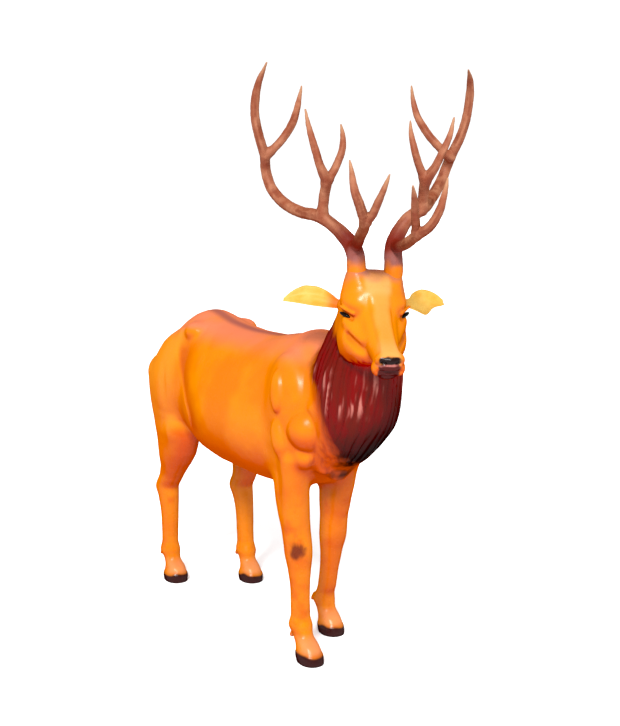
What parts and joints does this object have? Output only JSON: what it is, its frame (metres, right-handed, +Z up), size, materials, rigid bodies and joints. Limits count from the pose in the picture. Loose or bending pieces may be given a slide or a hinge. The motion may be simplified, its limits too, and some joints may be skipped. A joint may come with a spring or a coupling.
{
  "type": "stag sculpture",
  "caption": "Standing leather-covered stag sculpture, about life size, with branched antlers, leaf-shaped ears and a dark red mane. It stands on its own hooves.",
  "frame": {"origin": "centre of the bounding box at the level of the soles", "axes": "+Z up, the stag's body faces -Y and its left side is +X; its head is turned to its right"},
  "size_m": [0.5874, 1.5906, 1.7696],
  "materials": {
    "coat_leather": "glossy, dyed and airbrushed",
    "antler": "matte, stained",
    "ear_leather": "soft gloss",
    "eye_glass": "polished, nearly black"
  },
  "bodies": {
    "root": {"body": "coat_leather", "antler_left": "antler", "antler_right": "antler", "ear_left": "ear_leather", "ear_right": "ear_leather", "eye_left": "eye_glass", "eye_right": "eye_glass"}
  },
  "joints": []
}
